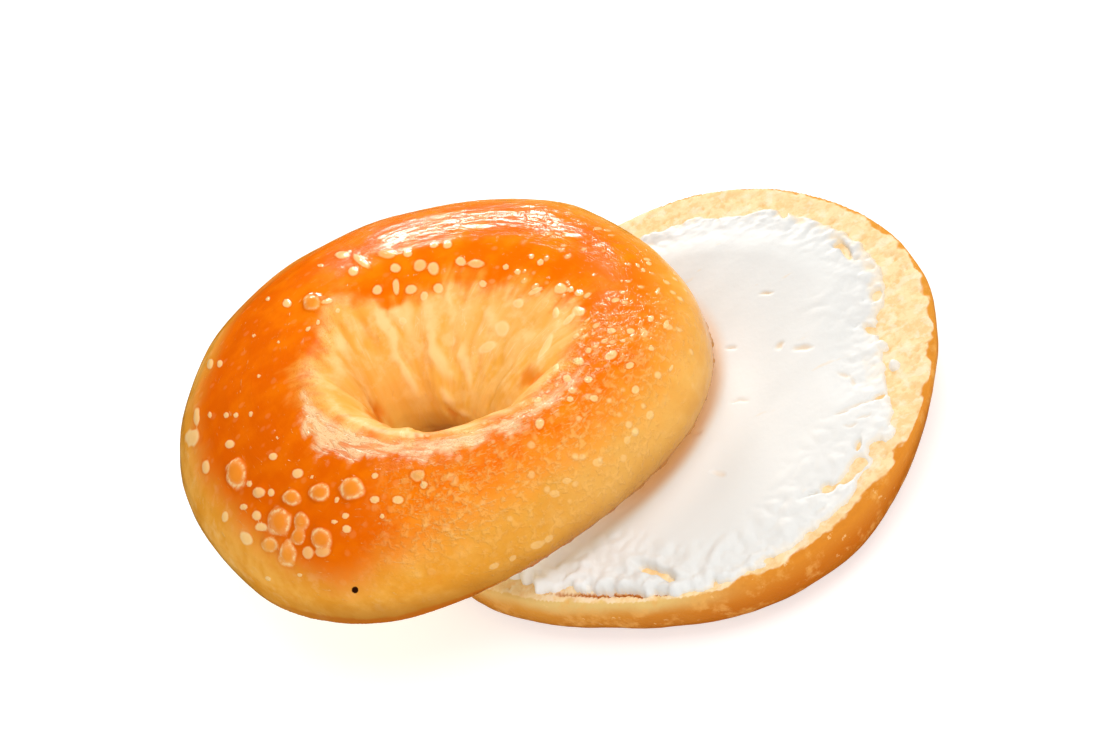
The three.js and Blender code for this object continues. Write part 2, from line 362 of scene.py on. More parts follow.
def spread_out(material, value, low, high, first=0.0, last=1.0):
    """The value's range from low to high, stretched smoothly from first to last."""
    made = add_node(material, "ShaderNodeMapRange", {0: value, 1: low, 2: high, 3: first, 4: last},
                    interpolation_type="SMOOTHSTEP")
    return made.outputs[0]


def maths(material, operation, first, second=0.0, third=0.0):
    made = add_node(material, "ShaderNodeMath", {0: first, 1: second, 2: third}, operation=operation)
    return made.outputs[0]


def times(material, first, second):
    return maths(material, "MULTIPLY", first, second)


def scaled(material, value, factor, plus):
    """The value times a factor, plus an amount or another value."""
    return maths(material, "MULTIPLY_ADD", value, factor, plus)


def blend(material, share, first, second):
    """Colour that goes from the first to the second as the share goes from 0 to 1."""
    made = add_node(material, "ShaderNodeMix", {"Factor": share, 6: first, 7: second}, data_type="RGBA")
    return made.outputs[2]


def attribute(material, name, vector=False):
    made = add_node(material, "ShaderNodeAttribute", attribute_name=name)
    return made.outputs["Vector" if vector else "Fac"]


bread, bread_shader = new_material("bread", [lower_bread])
place = add_node(bread, "ShaderNodeTexCoord").outputs["Object"]
height = add_node(bread, "ShaderNodeSeparateXYZ", {0: place}).outputs[2]
blotches = noise_node(bread, place, 120.0, 4.0)
fine = noise_node(bread, place, 1100.0, 3.0)
fibrous = noise_node(bread, place, 420.0, 5.0, 0.65)

# The crumb, darker in its pores as painted shade in their hollows, and paler in smears.
crumb_tone = blend(bread, spread_out(bread, fibrous, 0.38, 0.6), srgb("f2cb92"), srgb("f7dcab"))
# Painted shade in the pores.
pitted = times(bread, attribute(bread, "pores"), 0.5)
crumb_tone = blend(bread, pitted, crumb_tone, srgb("efc27a"))
smears = spread_out(bread, noise_node(bread, place, 300.0, 5.0, 0.6), 0.5, 0.62, 0.0, 0.4)
crumb_tone = blend(bread, smears, crumb_tone, srgb("fdf3df"))

# The crust: lighter towards the cut, pale in the unbaked band, browner low on the side and under the
# base, with torn chips and mottling.
browned = scaled(bread, blotches, 0.6, maths(bread, "ADD", attribute(bread, "browning"), -0.3))
crust_tone = blend(bread, browned, srgb("e2a342"), srgb("c8690f"))
wavy_height = scaled(bread, blotches, 4 * MM, height)
lightened = spread_out(bread, wavy_height, 9 * MM, 15 * MM)
crust_tone = blend(bread, times(bread, lightened, 0.5), crust_tone, srgb("ea9f3c"))
band_share = spread_out(bread, wavy_height, 10.5 * MM, 14.5 * MM)
unbaked = times(bread, attribute(bread, "pale_band"), band_share)
crust_tone = blend(bread, unbaked, crust_tone, srgb("e9c57c"))
low_side = spread_out(bread, height, 10 * MM, 2 * MM, 0.0, 0.9)
crust_tone = blend(bread, low_side, crust_tone, srgb("b0600f"))
base = spread_out(bread, height, 2 * MM, 0.3 * MM)
crust_tone = blend(bread, base, crust_tone, srgb("97591c"))
chips = spread_out(bread, fibrous, 0.65, 0.69, 0.0, 0.7)
crust_tone = blend(bread, chips, crust_tone, srgb("f3c684"))
mottled = spread_out(bread, noise_node(bread, place, 240.0, 5.0, 0.65), 0.5, 0.68, 0.0, 0.6)
crust_tone = blend(bread, mottled, crust_tone, srgb("eeb05c"))

# The crumb shows on the cut face, up to where the crust comes in over its edge.
bare = times(bread, spread_out(bread, attribute(bread, "cut"), 0.3, 0.7),
             spread_out(bread, attribute(bread, "crust_on_top"), 0.3, -0.3))
tone = blend(bread, bare, crust_tone, crumb_tone)
# Darker brown in the torn crevice: partly its toasted edge, and partly painted shade in the groove.
tone = blend(bread, spread_out(bread, attribute(bread, "crevice"), 0.2, 0.8), tone, srgb("b9651f"))
feed(bread, bread_shader.inputs["Base Color"], tone)
feed(bread, bread_shader.inputs["Roughness"], scaled(bread, bare, 0.55, 0.3))
bread_shader.inputs["Specular IOR Level"].default_value = 0.06
bread_shader.inputs["Specular Tint"].default_value = (1.0, 0.75, 0.5, 1)
bump = add_node(bread, "ShaderNodeBump", {"Height": fine, "Strength": 0.4, "Distance": 0.4 * MM})
feed(bread, bread_shader.inputs["Normal"], bump.outputs[0])


# ---------------------------------------------------------------------------------------------------
# Cream cheese. A soft layer about 2 mm thick, laid on with a knife: shallow folds, a thin ragged edge,
# thick and lumpy at the near left, and bare patches where the knife took it off again. Where there is no
# cheese, the sheet dips under the crumb. Below the crown it fills the room up to the cut.
SPREAD_GRAIN = 0.36 * MM
SPREAD_SIZE = 108 * MM
SPREAD_BEYOND = 4
SPREAD_THICKNESS = 2.1
SPREAD_SUNK = 0.9
SPREAD_BACKING = 0.5 * MM
RIM_DROP = 2.5 * MM
CROWN_MIDDLE = Vector((-18.9, 12.6, 16)) * MM
CUT_SLOPE = 0.0489
CROWN_GAP = 0.08
KNIFE_STROKES = math.radians(-20)
STROKE_STRETCH = (0.35, 1, 1)

# By bearing round the lower half: how thick the cheese is at its edge, how chunky it is there, how far
# its edge lies past the solid's, and how wide a rim of crumb is left bare. By bearing round the crown:
# how strongly a shadow, warm with the crust's bounce light, is painted on the cheese beside its lip.
EDGE_HEIGHT = [(-180, 1.2), (-150, 1.9), (-112, 1.7), (-95, 0.9), (-60, 0.7), (0, 0.6), (60, 0.7),
               (120, 1.0)]
CHUNKY = [(-180, 1), (-95, 1), (-78, 0.5), (-55, 0.2), (60, 0.1), (120, 0.5)]
EDGE_SHIFT = [(-180, 0), (-20, 0), (20, 0.8), (60, 1.8), (100, 1.5), (140, 0)]
RIM_LEFT_BARE = [(-180, 0.6), (-110, 0.6), (-98, 1.6), (-88, 2.4), (-75, 3.2), (-62, 3.4), (-50, 2.4),
                 (-35, 1.2), (-20, 0.8), (0, 0.6), (90, 0.6)]
# How strongly the crown's warm shadow is painted beside its lip, by bearing round the crown.
STAINED = [(-180, 0), (-100, 0), (-85, 0.25), (-72, 0.5), (-60, 1), (-45, 1), (-30, 0.8), (0, 0.5),
           (30, 0.3), (70, 0)]


def corners_of(node):
    return np.array([vertex.co for vertex in frame["nodes"][node].data.vertices])


def crown_cut(points):
    """Height of the crown's cut face, which leans a little, at each point."""
    return CROWN_MIDDLE.z + CUT_SLOPE * (CROWN_MIDDLE.y - points[:, 1])


crown_corners = corners_of("crown_half")
crown_lip = crown_corners[crown_corners[:, 2] < crown_cut(crown_corners) + 0.5 * MM]


def grid_places(points):
    """Distance in millimetres inside the cheese's edge and inside the crown's lip, for each point."""
    bearing, reach = compass(points, LOWER_MIDDLE)
    inside = at_bearing(bearing, outline_of(corners_of("cream_cheese"), LOWER_MIDDLE)) - reach
    bearing, reach = compass(points, CROWN_MIDDLE)
    below = at_bearing(bearing, outline_of(crown_lip, CROWN_MIDDLE)) - reach
    return inside, below


def towards(bearing, way, low, high):
    """1 for bearings near one way and 0 for those far from it, between two cosines of the angle."""
    return ease(np.cos(np.radians(bearing - way)), low, high)


# The sheet starts as a flat grid over the crumb, without what lies past its edge or over a drop.
grid_cells = round(SPREAD_SIZE / SPREAD_GRAIN)
bpy.ops.object.select_all(action="DESELECT")
bpy.ops.mesh.primitive_grid_add(x_subdivisions=grid_cells, y_subdivisions=grid_cells, size=SPREAD_SIZE,
                                location=LOWER_MIDDLE)
spread = bpy.context.object
spread.name = spread.data.name = "cream_cheese_layer"
bpy.ops.object.transform_apply()
points = points_and_normals(spread)[0]
crumb = BVHTree.FromObject(lower_bread, bpy.context.evaluated_depsgraph_get())
ground = [crumb.ray_cast((x, y, 1), (0, 0, -1))[0] for x, y in points[:, :2].tolist()]
ground = np.array([hit.z if hit else 0 for hit in ground])
outside = (grid_places(points)[0] < -SPREAD_BEYOND) | (ground < CUT_FACE - RIM_DROP)
bpy.ops.object.mode_set(mode="EDIT")
bpy.ops.mesh.select_all(action="DESELECT")
bpy.ops.object.mode_set(mode="OBJECT")
spread.data.vertices.foreach_set("select", outside)
bpy.ops.object.mode_set(mode="EDIT")
bpy.ops.mesh.delete(type="VERT")
bpy.ops.object.mode_set(mode="OBJECT")
ground = ground[~outside]
points = points[~outside]

# How far inside the uneven edge of the cheese each point is. Where that is below 0, there is none.
inside, below = grid_places(points)
bearing, reach = compass(points, LOWER_MIDDLE)
calm = inside + at_bearing(bearing, EDGE_SHIFT)
inside = calm + noise_at(points / (7 * MM), 21, 3) * 1.5 + noise_at(points / (1.6 * MM), 22, 3) * 0.3
chunks = (np.abs(noise_at(points / (3.6 * MM), 29)) - 0.2) * at_bearing(bearing, CHUNKY)
inside += 3 * chunks
before_rim = at_bearing(bearing, cut_edge) - reach

# Bare patches, thin smears and loose lumps, as the camera sees them: pixel across, pixel down, length
# and width in millimetres, and the direction of the length in degrees up from straight across.
BARE_PATCHES = [
    (846, 252, 3.3, 1.1, -58), (839, 247, 1.6, 0.8, 10), (880, 398, 2.2, 0.8, 25),
    (877, 296, 2.0, 1.3, 60), (873, 331, 2.8, 1.2, -20), (877, 450, 3.6, 2.6, 50),
    (859, 447, 1.8, 0.9, 80), (858, 466, 3.8, 2.2, 45), (828, 490, 2.3, 1.3, 20),
    (848, 478, 2.9, 1.5, 35), (838, 485, 4.2, 0.5, 30), (818, 496, 3.0, 0.4, 20),
    (776, 560, 4.9, 1.3, 15), (651, 573, 3.3, 1.3, -15), (667, 578, 3.0, 1.2, -25),
    (716, 216, 3.6, 1.0, 5), (783, 213, 2.0, 1.2, -60),
]
SMEARS = [
    (783, 352, 2.2, 1.4, 40), (806, 355, 4.2, 1.2, 5), (722, 480, 3.0, 1.4, -10),
    (742, 408, 4.0, 0.8, 8), (700, 440, 3.0, 1.0, 15), (640, 500, 5.0, 1.6, 30),
    (735, 355, 2.5, 0.8, 0), (770, 300, 3.0, 0.7, 5), (847, 380, 3.4, 0.9, -15),
    (855, 386, 1.8, 0.9, -75), (862, 408, 8.4, 0.7, 25), (845, 418, 3.4, 0.8, 20),
    (853, 430, 3.0, 0.6, 20), (866, 420, 3.4, 0.6, 30),
]
LUMPS = [
    (882, 346, 2.4, 2.4, 80), (875, 371, 4.5, 2.8, 25), (894, 365, 2.4, 2.2, 0),
    (876, 277, 3.0, 2.6, -30), (535, 575, 5.4, 2.6, 8), (606, 586, 3.4, 2.6, -10),
    (638, 587, 8.6, 2.4, -8), (686, 581, 3.0, 2.4, -60), (735, 583, 5.2, 1.4, 12),
    (590, 581, 5.0, 2.4, -5), (889, 432, 3.0, 2.6, 60), (560, 583, 4.0, 2.0, 5),
]


def seen_oval(seen, across, down, length, width, slant=0.0):
    """How far points are from an oval's middle as the camera sees them; 1 is at its edge."""
    turn = math.radians(slant)
    x, y = (seen - [across, down]).T
    along, beside = x * math.cos(turn) - y * math.sin(turn), x * math.sin(turn) + y * math.cos(turn)
    return np.hypot(along / length, beside / width) * 2 / PIXELS_PER_MM


# The loose lumps add cheese, and the bare rim and the bare patches take it away.
on_cut_face = np.stack([points[:, 0], points[:, 1], 0 * ground + CUT_FACE], 1)
sheet_seen = seen_at(on_cut_face)
wobble = noise_at(points / (1.3 * MM), 23) * 0.35
for lump in LUMPS:
    inside = np.maximum(inside, (1 - seen_oval(sheet_seen, *lump) - wobble) * 1.4)
bare_rim = at_bearing(bearing, RIM_LEFT_BARE) - 0.8 * noise_at(points / (4 * MM), 28, 3)
inside = np.minimum(inside, before_rim - bare_rim)
full_height = ease(calm, 0.5, 14)
for patch in BARE_PATCHES:
    away = seen_oval(sheet_seen, *patch)
    full_height *= 0.5 + 0.5 * ease(away, 0.8, 2)
    inside = np.minimum(inside, (away - 1.2 + wobble) * 0.9)

# The cheese is low and round at its edge and full further in, with chunks near the edge and folds along
# the strokes. Below the crown it fills the room, and where there is none the sheet sinks into the crumb.
edge_height = at_bearing(bearing, EDGE_HEIGHT) * (1 + 0.5 * noise_at(points / (4 * MM), 26, 3))
along_strokes = points @ np.array(Matrix.Rotation(KNIFE_STROKES, 3, "Z").transposed()) * STROKE_STRETCH
folds = noise_at(along_strokes / (8 * MM), 24, 2) * 0.1
thickness = edge_height + (SPREAD_THICKNESS + folds - edge_height) * full_height
thickness *= np.sqrt(1 - (1 - np.clip(inside / (0.6 + 0.7 * edge_height), 0, 1)) ** 2)
thickness += 1.3 * chunks * ease(inside, 0.2, 1.5) * (1 - ease(inside, 5, 10))
room = (crown_cut(points) - CUT_FACE) / MM - CROWN_GAP
thickness += (room - thickness) * ease(below, -0.5, 3) * ease(inside, 0.5, 3)
thickness = np.where(inside > 0, np.minimum(thickness, room), np.maximum(inside * 1.5, -SPREAD_SUNK))
wavering = sheet_seen + 4 * wobble[:, None]
smeared = np.max([ease(1.3 - seen_oval(wavering, *smear), 0, 1) for smear in SMEARS], axis=0)
thickness -= 0.3 * smeared
points[:, 2] = ground + (CUT_FACE - ground) * ease(inside, 0.5, 3) + thickness * MM
move_points(spread, points)
crown_bearing = compass(points, CROWN_MIDDLE)[0]
# Kept for the material: where the cheese is smeared and thin, where painted fill light lifts the crown's
# shade, and how strongly the crown's warm shadow is painted beside its lip.
keep_values(spread, smeared=smeared, thin=1 - ease(thickness, 0.15, 1.1),
            beside_crown=ease(below, -14, -2) * towards(crown_bearing, -85, 0.2, 0.9),
            near_crown=at_bearing(crown_bearing, STAINED) * ease(below, -3.6, 0.8))

# The sheet's rim is drawn down inside the crumb and closed below.
bpy.ops.object.mode_set(mode="EDIT")
bpy.ops.mesh.select_all(action="SELECT")
bpy.ops.mesh.region_to_loop()
bpy.ops.mesh.extrude_region_move(TRANSFORM_OT_translate={"value": (0, 0, -SPREAD_BACKING)})
bpy.ops.mesh.edge_face_add()
bpy.ops.mesh.select_all(action="SELECT")
bpy.ops.mesh.normals_make_consistent(inside=False)
bpy.ops.object.mode_set(mode="OBJECT")
smooth_out(spread, 1)


def stretched(material, places, scale, turn=0.0):
    """Places scaled along each axis, and then turned about the upright one."""
    made = add_node(material, "ShaderNodeMapping",
                    {"Vector": places, "Rotation": (0, 0, turn), "Scale": scale})
    return made.outputs[0]


cheese, cheese_shader = new_material("cream_cheese", [spread])
place = add_node(cheese, "ShaderNodeTexCoord").outputs["Object"]
cheese_tone = blend(cheese, noise_node(cheese, place, 80.0), srgb("cfd1d1"), srgb("d7d9d9"))

# Tan smears along the strokes, and crumb that shows through where the cheese is thin.
stroked = stretched(cheese, place, STROKE_STRETCH, -KNIFE_STROKES)
stains = spread_out(cheese, noise_node(cheese, stroked, 300.0, 5.0), 0.66, 0.76, 0.0, 0.5)
stains = maths(cheese, "MAXIMUM", stains, times(cheese, attribute(cheese, "smeared"), 0.85))
cheese_tone = blend(cheese, stains, cheese_tone, srgb("e2bd85"))
thin = scaled(cheese, noise_node(cheese, place, 420.0, 4.0), 0.8, attribute(cheese, "thin"))
thin = spread_out(cheese, thin, 0.55, 1.3, 0.0, 0.7)
cheese_tone = blend(cheese, thin, cheese_tone, srgb("f0d29c"))

# Painted light: it is painted whiter towards the near side and beside the crown, as fill light against
# the shade there, and a warm shadow of the crown is painted against its lip.
north = add_node(cheese, "ShaderNodeSeparateXYZ", {0: place}).outputs[1]
# Painted fill light: whiter towards the near side.
near_share = spread_out(cheese, north, 30 * MM, -50 * MM, 0.0, 0.65)
cheese_tone = blend(cheese, near_share, cheese_tone, srgb("f0f0ee"))
# Painted fill light beside the crown, where its shade falls on the cheese.
cheese_tone = blend(cheese, attribute(cheese, "beside_crown"), cheese_tone, srgb("fbfcfb"))
# A warm shadow of the crown, lit by bounce light from its orange crust, painted against its lip.
cheese_tone = blend(cheese, attribute(cheese, "near_crown"), cheese_tone, srgb("f0b87a"))

feed(cheese, cheese_shader.inputs["Base Color"], cheese_tone)
cheese_shader.inputs["Roughness"].default_value = 0.5
cheese_shader.inputs["Specular IOR Level"].default_value = 0.15
cheese_shader.inputs["Subsurface Weight"].default_value = 0.2
cheese_shader.inputs["Subsurface Radius"].default_value = (1, 0.95, 0.9)
cheese_shader.inputs["Subsurface Scale"].default_value = 1 * MM
bump = add_node(cheese, "ShaderNodeBump", {"Height": noise_node(cheese, place, 600.0), "Strength": 0.1,
                                            "Distance": 0.4 * MM})
feed(cheese, cheese_shader.inputs["Normal"], bump.outputs[0])

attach(spread, "root")
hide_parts("cream_cheese")


# ---------------------------------------------------------------------------------------------------
# Crown half. It lies loose on the cheese. Its crust is glossy and deep orange from the shoulder to the
# brow of the funnel, and pale amber low on the side and down the funnel. Steam raised blisters under
# the skin, which is wrinkled along the crest and on the near side.
CROWN_GRAIN = 0.64 * MM
CREST_MIDDLE = Vector((-10.9, 2.3, 16)) * MM
THROAT_MIDDLE = Vector((-22.6, -5.3, 16)) * MM
THROAT_RISE = 4.8
RING_RADIUS = 30
SECTOR = 10
SECTOR_TOP = 12

crown = even_copy("crown_half", "crown_bread", CROWN_GRAIN, 5)
points, normals = points_and_normals(crown)

# Places on the skin are told by their bearing round the funnel and by how far outside the crest they
# are; in the funnel that is below 0. The middle shifts from the crest's to the throat's further down.
rise = (points[:, 2] - crown_cut(points)) / MM
crown_bearing = compass(points, CROWN_MIDDLE)[0]
bearing, radius = compass(points, CREST_MIDDLE)
crest_radius, crest_rise = [], []
for way in range(-175, 180, SECTOR):
    in_sector = np.flatnonzero(np.abs(bearing - way) < SECTOR / 2)
    top = in_sector[np.argsort(rise[in_sector])[-SECTOR_TOP:]]
    crest_radius.append((way, radius[top].mean()))
    crest_rise.append((way, rise[top].mean()))
crest_at, rise_at = at_bearing(bearing, crest_radius), at_bearing(bearing, crest_rise)
from_crest = np.sign(radius - crest_at) * np.hypot(radius - crest_at, rise - rise_at)
depth = np.clip((rise_at - rise) / (rise_at - THROAT_RISE), 0, 1) * (from_crest < 0)
shift = np.sqrt(1 - (1 - depth) ** 2)[:, None] * np.array(THROAT_MIDDLE - CREST_MIDDLE)
bearing = compass(points - shift, CREST_MIDDLE)[0]

# Where the browning ends, by bearing: on the side of the crown, and in the funnel.
SIDE_BORDER = [(-170, 28), (-158, 28), (-146, 31), (-136, 30), (-124, 23), (-100, 15.5), (-75, 13.5),
               (-49, 13.5), (-25, 13), (-8, 12), (13, 14), (60, 19), (110, 26), (160, 29)]
BROW_BORDER = [(-170, 3.5), (-150, 1.2), (-116, 0.2), (-73, 0.2), (-54, -4.5), (-16, -5), (8, -6),
               (34, -9.5), (61, -11.5), (84, -11.4), (103, -8.8), (115, -2), (141, -2), (160, 0.8)]
side_edge = at_bearing(bearing, SIDE_BORDER) - from_crest
brow_edge = from_crest - at_bearing(bearing, BROW_BORDER)
around = np.radians(bearing)
unrolled = np.stack([RING_RADIUS * np.cos(around), RING_RADIUS * np.sin(around), from_crest], 1)

# How far outside the crest the gleam of the near brow reaches, by bearing: glossy skin, pale and
# cracked, with a highlight painted into its colour.
GLEAM = [(-180, 2), (-166, 7), (-154, 9), (-142, 6.5), (-119, 5.5), (-97, 4.5), (-80, 4.5), (-65, 4),
         (-50, 2), (-35, 0), (60, 0), (160, 0)]

# How wrinkled the far shoulder is, by bearing.
FAR_SHOULDER = [(-180, 0), (-8, 0), (8, 0.5), (22, 1), (82, 1), (98, 0.6), (116, 0)]

# How browned the lip and the turn above it are, and how much shade of the underside is painted there,
# by bearing from the middle of the crown.
LIP_SHADE = [(-180, 0.2), (-150, 0.3), (-138, 0.6), (-124, 1), (-98, 1), (-78, 0.85), (-60, 0.6),
             (-35, 0.4), (0, 0.2), (40, 0)]

# How thickly tiny blisters are strewn, by bearing.
SPECKLED = [(-180, 0.1), (-130, 0.1), (-100, 0.5), (-70, 0.9), (-45, 1), (10, 1), (40, 0.5), (60, 0.1),
            (120, 0.1)]

# Relief: uneven dough, veins down the funnel, wrinkles that run round the ring, and a frayed lip.
in_funnel = ease(-from_crest, 2, 8) * ease(rise, 2, 6)
on_skin = 1 - ease(-normals[:, 2], 0.6, 0.9) * ease(1.5 - rise, 0, 1)
uneven = noise_at(points / (14 * MM), 11) * 0.35
wandering = unrolled + 4 * noise_at(points / (7 * MM), 18)[:, None]
vein = noise_at(wandering * [0.2, 0.2, 0.06], 12, 2) * (0.6 + 0.8 * noise_at(points / (12 * MM), 19))
near_side = towards(bearing, -72, 0.4, 0.8)
wrinkled = ease(side_edge, -9, 2) * ease(brow_edge, -3, 0) * near_side
far_shoulder = at_bearing(bearing, FAR_SHOULDER) * ease(from_crest, 1, 4)
near_lip = towards(crown_bearing, -45, 0.45, 0.8)
gleam_edge = at_bearing(bearing, GLEAM) + noise_at(points / (3.5 * MM), 27, 3) * 2.5
near_brow = ease(from_crest, 0, 1.5) * ease(gleam_edge - from_crest, 0, 2)
wrinkles = noise_at(unrolled * [0.15, 0.15, 0.6], 14) * 0.14 + noise_at(points / (1.7 * MM), 15) * 0.12
frayed = noise_at(points / (3 * MM), 17, 4) * 0.9 * ease(2.2 - rise, 0, 1.5) * near_lip
funnel_relief = vein * 0.5 * in_funnel * ease(rise, 6, 16)
relief = uneven + funnel_relief + wrinkles * np.maximum(wrinkled, 0.6 * far_shoulder) + frayed

# Blisters, as the camera sees them: pixels across and down, and width and height in millimetres.
BLISTERS = [
    (237, 474, 4.3, 6.0), (260, 493, 2.6, 2.1), (250, 484, 1.2, 1.3), (272, 493, 1.4, 1.7),
    (292, 498, 3.7, 3.1), (320, 493, 4.1, 3.3), (352, 489, 4.7, 4.3), (298, 474, 2.3, 2.0),
    (274, 457, 1.9, 1.5), (230, 444, 1.9, 1.7), (206, 467, 1.7, 2.7), (375, 500, 1.8, 1.5),
    (398, 500, 2.3, 1.7), (418, 476, 2.9, 2.5), (280, 522, 4.5, 5.5), (302, 522, 3.0, 3.5),
    (299, 537, 3.1, 3.5), (271, 545, 3.3, 2.9), (288, 554, 3.5, 5.1), (322, 539, 4.3, 4.1),
    (323, 551, 3.1, 2.1), (309, 552, 2.3, 2.7), (258, 516, 1.9, 1.9), (245, 507, 1.7, 1.3),
    (262, 527, 2.4, 1.7), (346, 516, 1.5, 1.1), (335, 522, 1.5, 0.9), (347, 529, 2.1, 1.7),
    (312, 303, 3.3, 3.3), (287, 304, 1.7, 1.7), (338, 310, 1.1, 1.0), (353, 271, 2.1, 2.0),
    (387, 254, 3.5, 1.8), (408, 254, 1.9, 1.5), (395, 268, 2.3, 1.7), (420, 266, 2.5, 2.4),
    (433, 269, 2.3, 2.2), (377, 289, 1.9, 1.9), (396, 286, 1.3, 2.9), (411, 289, 2.4, 1.9),
    (438, 288, 2.0, 2.0), (424, 296, 1.7, 1.9), (403, 322, 1.9, 1.6), (461, 262, 2.0, 1.9),
    (477, 264, 3.3, 1.7), (541, 263, 1.5, 1.3), (483, 284, 1.6, 1.5), (561, 289, 2.4, 2.0),
    (580, 294, 1.9, 1.3), (579, 312, 2.5, 1.9), (556, 313, 1.5, 2.5), (611, 331, 1.9, 1.1),
    (631, 331, 1.7, 1.3), (588, 350, 1.3, 1.3), (578, 361, 2.2, 1.5), (567, 378, 1.7, 1.7),
    (588, 379, 1.7, 1.5), (220, 364, 1.1, 1.6), (210, 364, 1.2, 2.1), (210, 415, 0.9, 1.3),
    (226, 415, 1.1, 1.2), (236, 415, 1.1, 1.1), (251, 414, 0.9, 1.3), (555, 494, 2.4, 1.6),
    (567, 481, 2.1, 1.3), (597, 462, 2.0, 1.7), (627, 440, 1.5, 1.7), (635, 433, 1.5, 1.4),
    (650, 415, 1.6, 1.8), (540, 423, 1.9, 2.2),
]

# Small marks and smears, the same way, with the slant of their length.
MARKS = [
    (327, 301, 2.5, 1.0, 10), (361, 261, 4.5, 1.4, -38), (342, 255, 2.9, 1.6, 0),
    (448, 245, 1.8, 1.6, 0), (434, 246, 2.0, 1.0, 10), (506, 267, 1.3, 1.2, 0),
    (532, 257, 1.2, 1.1, 0), (518, 273, 1.3, 1.1, 0), (535, 291, 3.0, 1.1, 25),
    (571, 290, 1.3, 1.2, 0), (518, 303, 2.5, 1.8, 25), (569, 320, 3.5, 1.2, 45),
    (545, 347, 6.5, 1.3, 60), (594, 398, 1.9, 1.4, 0), (538, 400, 1.6, 1.0, 20),
    (570, 399, 1.5, 1.3, 0), (611, 355, 2.6, 1.8, 20), (630, 365, 1.8, 1.3, 30),
    (636, 389, 1.5, 1.5, 0), (651, 318, 1.6, 1.2, 60), (666, 324, 2.0, 1.0, 70),
    (671, 368, 1.8, 0.7, 65), (651, 349, 1.1, 1.0, 0), (638, 266, 1.2, 0.7, -40),
    (643, 270, 1.2, 0.7, -40), (649, 264, 1.1, 0.7, -30), (658, 291, 1.7, 0.7, 70),
    (622, 281, 0.7, 0.7, 0), (609, 300, 0.8, 0.8, 0), (268, 299, 1.0, 0.9, 30),
    (254, 336, 0.9, 0.8, 0), (259, 376, 0.9, 0.8, 0), (318, 322, 1.2, 0.8, 80),
    (308, 329, 1.2, 0.8, 40), (278, 342, 0.9, 0.6, 10), (321, 266, 1.4, 0.7, 0),
    (312, 477, 1.6, 0.7, 5), (375, 476, 1.5, 1.1, 20), (337, 500, 1.5, 1.1, 60),
    (278, 438, 1.0, 0.7, 0), (382, 516, 1.1, 1.0, 0), (424, 485, 1.7, 1.5, 20),
    (556, 368, 2.0, 1.2, 75), (197, 417, 3.6, 1.2, 85), (192, 438, 3.6, 2.8, 70),
    (247, 538, 3.2, 2.0, -40), (225, 517, 2.4, 1.4, 80), (269, 578, 1.3, 0.9, -30),
    (300, 575, 1.2, 0.8, 0), (502, 328, 3.2, 3.4, 0), (488, 347, 4.2, 2.2, 20),
    (549, 539, 2.0, 1.2, 30), (537, 545, 3.0, 1.6, 15), (513, 558, 1.6, 1.0, 35),
    (494, 566, 2.2, 1.2, 20),
]

# Folds down the far wall of the funnel, as the camera sees them: pixels across and down, length and
# width in millimetres, slant, and strength, above 0 for a pale ridge and below 0 for a darker groove;
# the paleness and darkness are partly the dough's own tone and partly painted highlight and shade.
FOLDS = [
    (387, 327, 10, 2.6, -71, 0.9), (405, 372, 12, 2.1, -63, 0.9), (378, 316, 7, 2.0, -70, 0.5),
    (434, 332, 8, 2.4, -88, 0.7), (440, 360, 8, 3.6, -68, 0.9), (447, 398, 6, 1.8, -60, 0.9),
    (461, 412, 5, 1.5, -28, 0.8), (467, 365, 13, 2.6, -82, 0.8), (408, 318, 12, 3.0, -80, 0.6),
    (427, 309, 6, 2.4, -80, 0.6), (395, 310, 6, 2.2, -68, 0.6), (452, 302, 9, 2.0, -92, 0.6),
    (337, 341, 7, 4.4, -50, 0.8), (333, 363, 7, 2.8, -45, 0.6), (491, 316, 8, 3.4, -75, 0.5),
    (368, 329, 13, 2.4, -62, -0.5), (426, 351, 11, 2.0, -80, -0.4), (455, 345, 9, 2.2, -80, -0.4),
    (380, 415, 6.5, 3.6, -65, -1.0), (454, 413, 5, 2.0, -80, -0.7), (335, 394, 8, 2.0, -28, -0.5),
    (406, 359, 7, 1.6, -65, -0.4), (483, 365, 9, 1.8, -80, -0.4), (527, 378, 6, 4.6, 42, -1.0),
    (344, 331, 7, 1.6, -58, -0.5),
]
BURNT_SPECK = (355, 590, 1.5, 1.5)

# How high blisters and folds stand, how far out from its middle a blister's foot is, as a share of its
# size, and the share that stands for no blister near.
BLISTER_RISE = 0.22
FOLD_RISE = 0.4
BLISTER_FOOT = 1.15
NO_BLISTER = 3.0

skin = BVHTree.FromObject(crown, bpy.context.evaluated_depsgraph_get())
skin_seen = seen_at(points)
fold = np.zeros(len(points))
wavering = skin_seen + 7 * noise_at(points / (5 * MM), 20, 3)[:, None]
for *oval, strength in FOLDS:
    fold += strength * ease(1.5 - seen_oval(wavering, *oval), 0, 1.5) * in_funnel
uneven_outline = 1 + 0.25 * noise_at(points / (2 * MM), 16)

# For each point, how far it is from the middle of the nearest blister or mark, as a share of its size,
# and how strongly that one is ringed: large blisters are, and marks aren't.
blister = np.full(len(points), NO_BLISTER)
ringed = np.zeros(len(points))
for across, down, width, tall, *slant in BLISTERS + MARKS:
    middle = np.array(skin.ray_cast(eye, line_of_sight(across, down))[0])
    close = np.flatnonzero(np.linalg.norm(points - middle, axis=1) < 2 * max(width, tall) * MM)
    distance = seen_oval(skin_seen[close], across, down, width, tall, *slant) * uneven_outline[close]
    nearer = close[distance < blister[close]]
    blister[nearer] = distance[distance < blister[close]]
    ringed[nearer] = ease(width + tall, 4, 7) * (not slant)
lifted = BLISTER_RISE * (0.5 + ringed) * np.sqrt(1 - np.clip(blister / BLISTER_FOOT, 0, 1) ** 2)
points += normals * ((relief + FOLD_RISE * fold + lifted) * on_skin * MM)[:, None]
move_points(crown, points)
